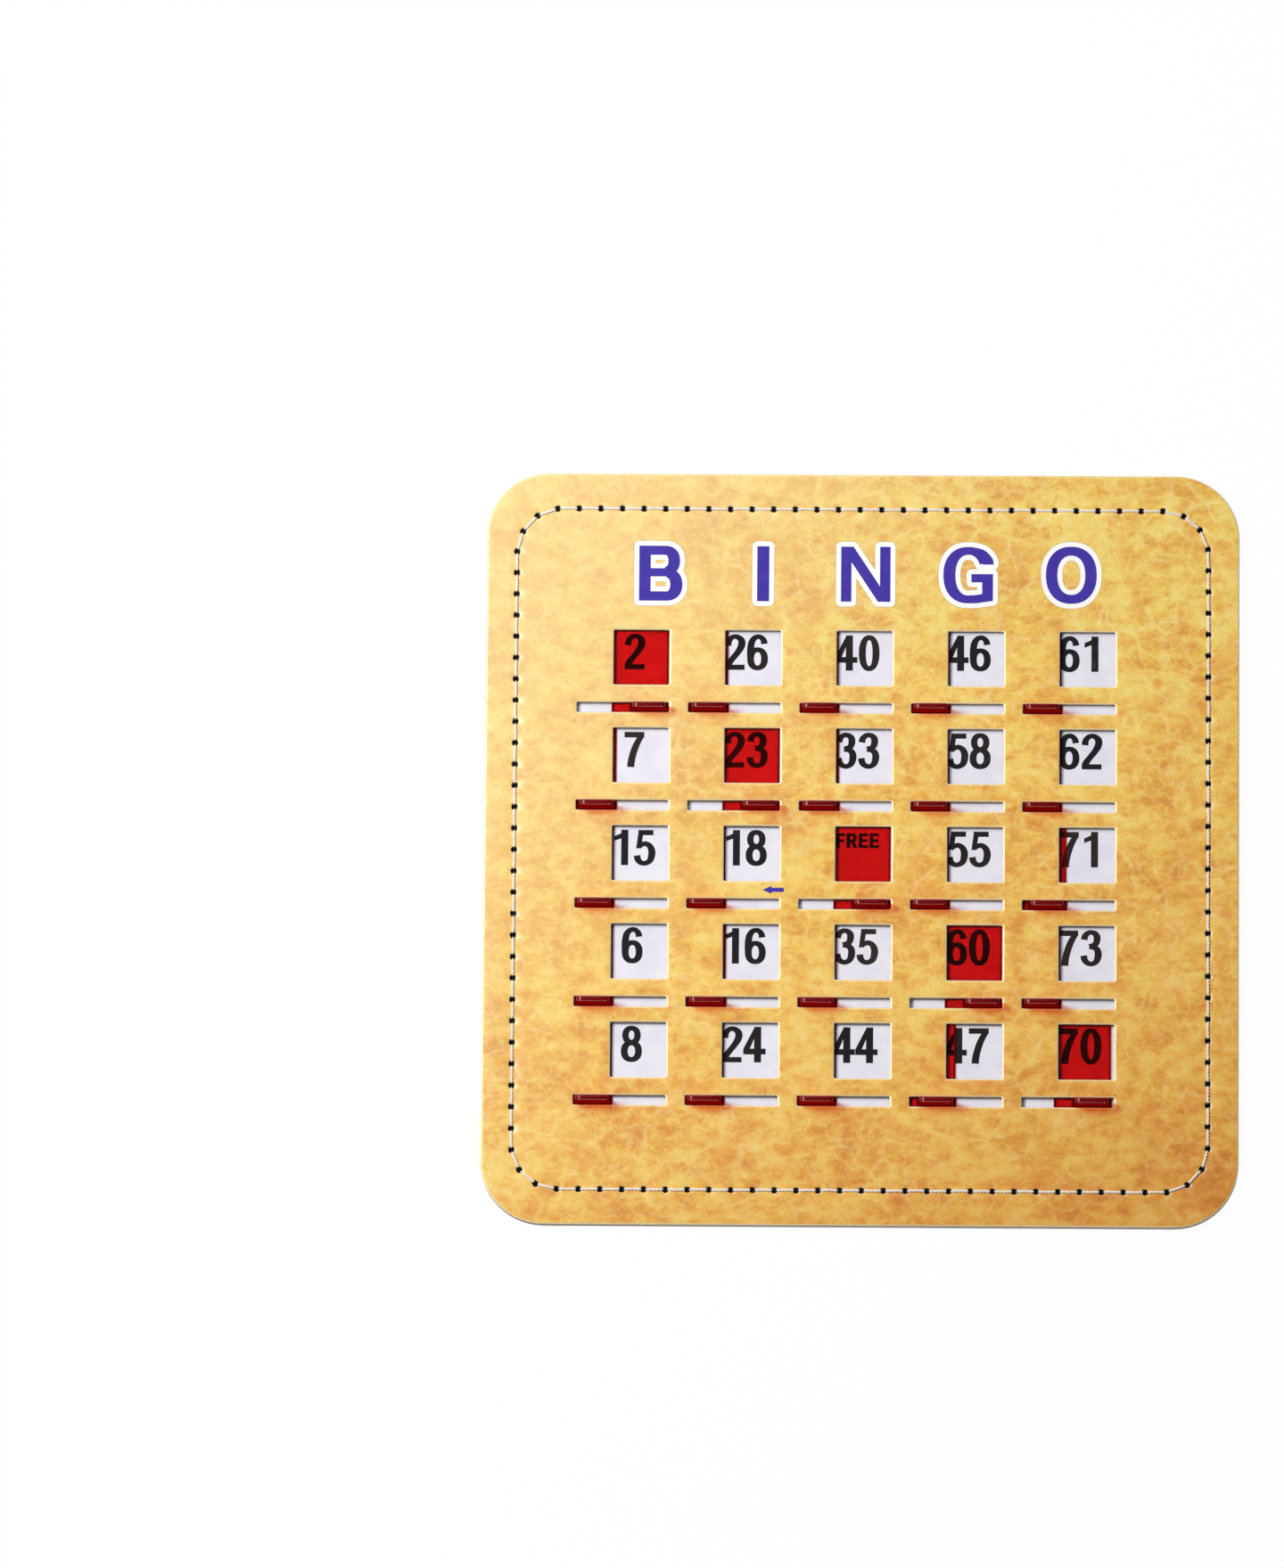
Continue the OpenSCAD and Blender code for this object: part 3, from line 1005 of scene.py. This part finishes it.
# The glyphs, in millimetres from the middle of their feet, and for SMALL from the left
DIGITS = {
    "0": [arc(0, 4.9, 2.65, 5, 1.8, 1.4)],
    "1": [
        box(-0.15, 0, 1.65, 9.8),
        shape((-1.9, 6.7), (0.2, 7.55), (1.2, 9.8), (0.4, 9.8), (-0.3, 8.75), (-1.9, 8)),
    ],
    "2": [
        stroke(
            (-1.75, 6.7, 1.71), (-1.55, 8, 1.6), (-0.85, 8.95, 1.37), (0.05, 9.25, 1.31),
            (1, 8.95, 1.48), (1.72, 8, 1.82), (1.62, 6.55, 1.82), (0.7, 4.85, 1.6),
            (-0.6, 3.1, 1.54), (-1.5, 1.75, 1.71), (-1.72, 0.7, 1.82),
        ),
        box(-2.55, 0, 2.5, 1.45),
    ],
    "3": [
        stroke(
            (-1.72, 7.2, 1.71), (-1.5, 8.25, 1.6), (-0.75, 9.05, 1.37), (0.05, 9.25, 1.31),
            (0.95, 8.95, 1.48), (1.5, 8.1, 1.77), (1.45, 6.7, 1.71), (0.85, 5.75, 1.48),
            (-0.45, 5.35, 1.37),
        ),
        stroke(
            (-0.45, 5.3, 1.37), (0.85, 5.1, 1.48), (1.7, 4.2, 1.71), (1.82, 2.8, 1.82),
            (1.45, 1.4, 1.6), (0.7, 0.7, 1.37), (0, 0.54, 1.31), (-0.85, 0.8, 1.42),
            (-1.6, 1.65, 1.65), (-1.85, 2.85, 1.71),
        ),
    ],
    "4": [
        box(-0.15, 0, 1.65, 9.8),
        box(-2.9, 2.2, 2.8, 3.8),
        shape((-2.9, 3.7), (-1.25, 3.7), (0, 6.9), (0, 9.8)),
    ],
    "5": [
        box(-1.6, 8.3, 2.25, 9.75),
        shape((-2.15, 4.55), (-0.85, 4.9), (-0.3, 9), (-1.6, 9)),
        stroke(
            (-1.5, 4.85, 1.03), (-0.75, 5.65, 1.31), (0.2, 5.95, 1.37), (1.2, 5.45, 1.54),
            (1.8, 4.3, 1.77), (1.85, 2.9, 1.82), (1.45, 1.4, 1.6), (0.6, 0.7, 1.37),
            (-0.1, 0.54, 1.31), (-0.95, 0.75, 1.42), (-1.65, 1.55, 1.65), (-1.9, 2.7, 1.71),
        ),
    ],
    "6": [
        arc(0, 3.1, 2.65, 3.2, 1.75, 1.35),
        stroke(
            (1.72, 7.25, 1.71), (1.5, 8.3, 1.54), (0.85, 9.05, 1.37), (0.1, 9.25, 1.31),
            (-0.85, 8.85, 1.48), (-1.55, 7.6, 1.71), (-1.8, 5.6, 1.77), (-1.82, 3.6, 1.71),
            (-1.7, 2.4, 1.6),
        ),
    ],
    "7": [
        box(-2.5, 8.2, 2.55, 9.75),
        stroke(
            (1.95, 8.9, 1.37), (0.95, 7.1, 1.6), (0.2, 5.3, 1.71), (-0.4, 3.2, 1.77),
            (-0.75, 1.4, 1.82), (-0.85, 0, 1.85),
        ),
    ],
    "8": [arc(0, 7.28, 2.35, 2.6, 1.65, 1.35), arc(0, 2.88, 2.68, 2.98, 1.75, 1.38)],
}
LETTERS = {
    "B": [
        box(-5.75, 0, -2.6, 15.3),
        box(-3, 12.75, 1.4, 15.3),
        box(-3, 6.75, 1.6, 9.05),
        box(-3, 0, 1.8, 2.6),
        arc(1.3, 11.1, 4.1, 4.2, 3.2, 2.55, -90, 90),
        arc(1.65, 4.5, 4.45, 4.5, 3.35, 2.55, -90, 90),
    ],
    "I": [box(-1.65, 0, 1.65, 15.3)],
    "N": [
        box(-6.75, 0, -3.9, 15.3),
        box(3.9, 0, 6.75, 15.3),
        shape((-6.75, 15.3), (-3.35, 15.3), (6.75, 0), (3.35, 0)),
    ],
    "G": [
        arc(0, 7.55, 6.82, 7.85, 3.3, 2.2, 30, 285),
        box(3.8, 0.45, 6.75, 7.85),
        box(0.85, 5.55, 6.75, 7.85),
        shape((0.2, -0.3), (2, -0.28), (6.75, 0.4), (6.75, 2.6), (3.8, 2.3), (1, 1.9), (0.2, 1.9)),
        shape((2.2, 12.95), (3.2, 12.05), (6.1, 12.9), (5.1, 14), (4.2, 14.6), (2.2, 15.2)),
        shape((3.2, 12.05), (3.95, 10.5), (6.95, 10.5), (6.8, 11.6), (6.45, 12.4), (6.1, 12.9)),
    ],
    "O": [arc(0, 7.65, 6.95, 7.95, 3.15, 2.5)],
}
SMALL = {
    "F": [box(0, 0, 0.98, 4), box(0.5, 3.22, 2.45, 4), box(0.5, 1.55, 2.2, 2.3)],
    "E": [
        box(0, 0, 0.98, 4),
        box(0.5, 3.22, 2.5, 4),
        box(0.5, 1.65, 2.35, 2.4),
        box(0.5, 0, 2.6, 0.78),
    ],
    "R": [
        box(0, 0, 0.98, 4),
        box(0.5, 3.25, 1.7, 4),
        box(0.5, 1.5, 1.7, 2.25),
        arc(1.6, 2.75, 1.2, 1.25, 0.95, 0.75, -90, 90),
        shape((1.1, 1.75), (1.95, 2), (2.95, 0), (1.9, 0)),
    ],
}
# The text's place from its window's centre, and the letters' and the arrow's on the card
TEXT_X, TEXT_Y, ADVANCE, DIGIT_WIDER = -1.73, -3.25, 6.2, 1.07
FREE_X, FREE_Y, FREE_AT = -7.3, 1.8, (0.0, 2.85, 6.15, 9.15)
LETTER_X, LETTER_Y = [-55.33, -27.18, 0.83, 28.84, 56.96], 68.33
RIM_GROW, HALO_GROW = 1.48, 1.36
ARROW = [box(2.2, -0.58, 5.85, 0.58), shape((0, 0), (2.5, -1.08), (2.5, 1.08))]
ARROW_X, ARROW_Y = -26.76, -11.61

# Each ink's underside and top. The upper inks cover the lower ones.
NUMBER_Z, SHADE_Z = (0.002, 0.022), (0.002, 0.012)
OUTLINE_Z, LETTER_Z = (0.004, 0.02), (0.006, 0.036)


def number_items():
    """The numbers, each a little off its place as printing is, and FREE."""
    flat_digits = {}
    for key, parts in DIGITS.items():
        flat, tris = glyph_mesh(parts)
        flat_digits[key] = ([Vector((v.x * DIGIT_WIDER, v.y)) for v in flat], tris)
    found, off = [], 0.06
    rnd = random.Random(3)
    for (x, y), word in zip(WINDOWS, NUMBERS):
        off_x, off_y = rnd.uniform(-off, off), rnd.uniform(-off, off)
        for i, c in enumerate(word):
            place = (i - (len(word) - 1) / 2) * ADVANCE
            found.append((flat_digits[c], x + TEXT_X + place + off_x, y + TEXT_Y + off_y))
    x, y = WINDOWS[NUMBERS.index("")]
    for c, at in zip("FREE", FREE_AT):
        found.append((glyph_mesh(SMALL[c]), x + FREE_X + at, y + FREE_Y))
    return found


def title(grow=0.0):
    """The five column letters, grown all round."""
    return [(glyph_mesh(LETTERS[c], grow), x, LETTER_Y) for c, x in zip("BINGO", LETTER_X)]


def lift(x, y):
    """How far the face rises above its nominal top."""
    return face_z(x, y) - FACE_TOP


printed("number_print", number_items(), SHEET_Z, NUMBER_Z, number_ink())
purple = flat_ink("purple_ink", rgb(62, 47, 160), rgb(70, 54, 167), 0.10)
white_ink = flat_ink("white_ink", rgb(255, 255, 253), rgb(254, 252, 246), 0.05)
shade_ink = flat_ink("shade_ink", rgb(206, 172, 106), rgb(196, 160, 92), 0.10)
printed("letter_shade", title(RIM_GROW), FACE_TOP, SHADE_Z, shade_ink, lift)
printed("letter_outline", title(HALO_GROW), FACE_TOP, OUTLINE_Z, white_ink, lift)
core = title() + [(glyph_mesh(ARROW), ARROW_X, ARROW_Y)]
printed("letter_print", core, FACE_TOP, LETTER_Z, purple, lift)


# Shutters
TAB_ROOT, TAB_CORNER = 0.08, 0.3
# The tab's ends round off over its shoulder, and its broad sides over its edge.
TAB_SHOULDER, TAB_EDGE, TAB_TIP = 2.2, 0.3, 0.1
# Beside the window, that is right of and above these places, the plate stands in by so much.
PLATE_IN, IN_FROM_X, IN_FROM_Y = 0.27, 6.5, -7
# The clear panes' centres, sizes and corners. The rim round them is the tab's dark plastic: painted
# shade along the plate's edges, where the window and slot walls shade it.
WINDOW_PANE = (0, 4.04, PLATE_W - 0.84, 15.43, 0.5)
SLOT_PANE = (-5.19, -10.15, 4.48, 2.25, 0.3)


def tab_mark(n, z):
    """The edge mark at height z on a side that faces n, for tab_plastic, which paints the rims and
    top dark, the broad sides bright and a highlight along the upper front edge.
    """
    # The upper front edge carries the painted highlight.
    if n.y < -0.6 and TAB_TOP - 0.18 < z < TAB_TOP - 0.06:
        return 0.75
    if z > TAB_TOP - 0.12 or (abs(n.x) > 0.6 and z > TAB_TOP - 0.5):
        return 1.0
    # Rims, and the whole plate below the tab, are marked for the painted dark.
    return 0.5 if abs(n.x) > 0.3 or z > TAB_TOP - 0.3 or z < PLATE_Z1 + 0.1 else 0.0


def tab_levels():
    """The tab's width, thickness and height, from its root to its round top."""
    levels, root_cuts, top_cuts = [], 3, 12
    for k in range(root_cuts + 1):
        a = pi / 2 * k / root_cuts
        wider = 2 * TAB_ROOT * (1 - sin(a))
        levels.append((TAB_W + wider, TAB_T + wider, PLATE_Z1 + TAB_ROOT * (1 - cos(a))))
    levels += [(TAB_W, TAB_T, z) for z in (3.2, 4.2, 5.4, 6.6)]
    for k in range(top_cuts + 1):
        a = pi / 2 * k / top_cuts
        z = TAB_TOP - TAB_SHOULDER + TAB_SHOULDER * sin(a)
        near = max(0.0, z - (TAB_TOP - TAB_EDGE))
        thin = TAB_EDGE - sqrt(max(TAB_EDGE * TAB_EDGE - near * near, 0))
        tip = TAB_TIP if k == top_cuts else 0
        w = TAB_W - 2 * TAB_SHOULDER * (1 - cos(a)) - tip
        levels.append((w, TAB_T - 2 * thin, z))
    return levels


def shutter_mesh(name, mats):
    """Plate and finger tab as one closed moulding, about the plate's centre."""
    verts, faces, kinds, marks = [], [], [], []
    clear, red = 0, 1
    tab_x = -TAB_IN + PLATE_W / 2 - TAB_W / 2
    tab_y = -SLOT_DROP - TAB_LOW - (PLATE_ABOVE - PLATE_H / 2)
    bevel = 0.09

    def ring(cx, cy, w, h, r, z, arc_n, counts):
        start = len(verts)
        for p, n in rounded_loop(cx, cy, w, h, r, 1, arc_n, counts=counts):
            inwards = PLATE_IN if p.x > IN_FROM_X and p.y > IN_FROM_Y else 0
            verts.append((p.x - inwards, p.y, z))
            marks.append(tab_mark(n, z))
        return range(start, len(verts))

    def cap(ids, kind):
        faces.append(tuple(ids))
        kinds.append(kind)

    plate = [(bevel, PLATE_Z0), (0, PLATE_Z0 + bevel), (0, PLATE_Z1 - bevel), (bevel, PLATE_Z1)]
    rings = [
        ring(0, 0, PLATE_W - 2 * b, PLATE_H - 2 * b, PLATE_R, z, 5, (6, 10)) for b, z in plate
    ]
    # The plate's sides and upper bevel are the tab's dark plastic, as painted shade.
    for a, b, kind in zip(rings, rings[1:], (clear, red, red)):
        join_rings(a, b, [a], faces, kinds, kind)
    cap(reversed(rings[0]), clear)
    tab_rings = [
        ring(tab_x, tab_y, w, t, min(TAB_CORNER, t / 2 - 0.02), z, 4, (8, 1))
        for w, t, z in tab_levels()
    ]
    for a, b in zip(tab_rings, tab_rings[1:]):
        join_rings(a, b, [a], faces, kinds, red)
    cap(tab_rings[-1], red)
    panes = [ring(*WINDOW_PANE, PLATE_Z1, 4, (6, 6)), ring(*SLOT_PANE, PLATE_Z1, 4, (3, 2))]
    for pane in panes:
        cap(pane, clear)
    # The plate's top round the panes and the tab's foot is the tab's dark plastic too, as painted
    # shade along its edges.
    loops = [rings[-1], tab_rings[0]] + panes
    order, _, tris = fill([[Vector(verts[i][:2]) for i in loop] for loop in loops], [])
    where = dict(zip(order, [i for loop in loops for i in loop]))
    for t in tris:
        cap([where[i] for i in t], red)
    piece = new_piece(name, verts, faces, mats, kinds, marks, smooth=40)
    fix_normals(piece)
    return piece


RED, TAB_RED = red_plastic(), tab_plastic()
for (x, y), place in zip(WINDOWS, PLACES):
    node = "shutter_" + place
    piece = shutter_mesh("red_" + node, [RED, TAB_RED])
    shift = TRAVEL * (REST_SHARES.get(place, 0) - 1)
    centre = (x + PLATE_RIGHT - PLATE_W / 2 + shift, y + PLATE_ABOVE - PLATE_H / 2, 0)
    piece.location = Vector(centre) * MM
    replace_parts(piece, node)
    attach(piece, node)


# Floor and light, in metres and watts. Rays that see the floor see mostly a plain white.
FLOOR_HALF, FLOOR_Z, FLOOR_GLOW, WORLD_LIGHT = 3.0, -0.0002, 0.97, 0.14


def add_floor():
    mesh = bpy.data.meshes.new("floor")
    corners = [Vector((x, y, 0)) * FLOOR_HALF for x, y in ((-1, -1), (1, -1), (1, 1), (-1, 1))]
    mesh.from_pydata(corners, [], [(0, 1, 2, 3)])
    s = Shader("floor_white")
    s.set(Base_Color=(0.93, 0.93, 0.94, 1), Roughness=0.9, Specular_IOR_Level=0.1)
    path = s.add("ShaderNodeLightPath")
    seen = s.plus(path.outputs["Is Camera Ray"], path.outputs["Is Glossy Ray"])
    seen = s.maths("MINIMUM", s.plus(seen, path.outputs["Is Transmission Ray"]), 1.0)
    glow = s.add("ShaderNodeEmission", {"Strength": 1.0})
    s.mix_surface(s.times(seen, FLOOR_GLOW), glow.outputs[0])
    mesh.materials.append(s.mat)
    floor = add_object("floor", mesh)
    floor.location = (0, 0, FLOOR_Z)


def add_lamp(name, at, size, watts):
    """A round lamp that shines at the card's middle."""
    data = bpy.data.lights.new(name, "AREA")
    data.shape, data.size, data.energy = "DISK", size, watts
    lamp = add_object(name, data)
    lamp.location = at
    lamp.rotation_euler = (-Vector(at)).to_track_quat("-Z", "Y").to_euler()


add_floor()
add_lamp("key", at=(-0.58, 0.2, 0.9), size=0.42, watts=10.9)
add_lamp("sheen", at=(-0.1, 0.56, 0.85), size=0.12, watts=1.15)
world = bpy.data.worlds.new("studio")
world.use_nodes = True
background = world.node_tree.nodes["Background"]
background.inputs["Color"].default_value = (1, 1, 1, 1)
background.inputs["Strength"].default_value = WORLD_LIGHT
bpy.context.scene.world = world
bpy.context.scene.view_settings.view_transform = "Standard"
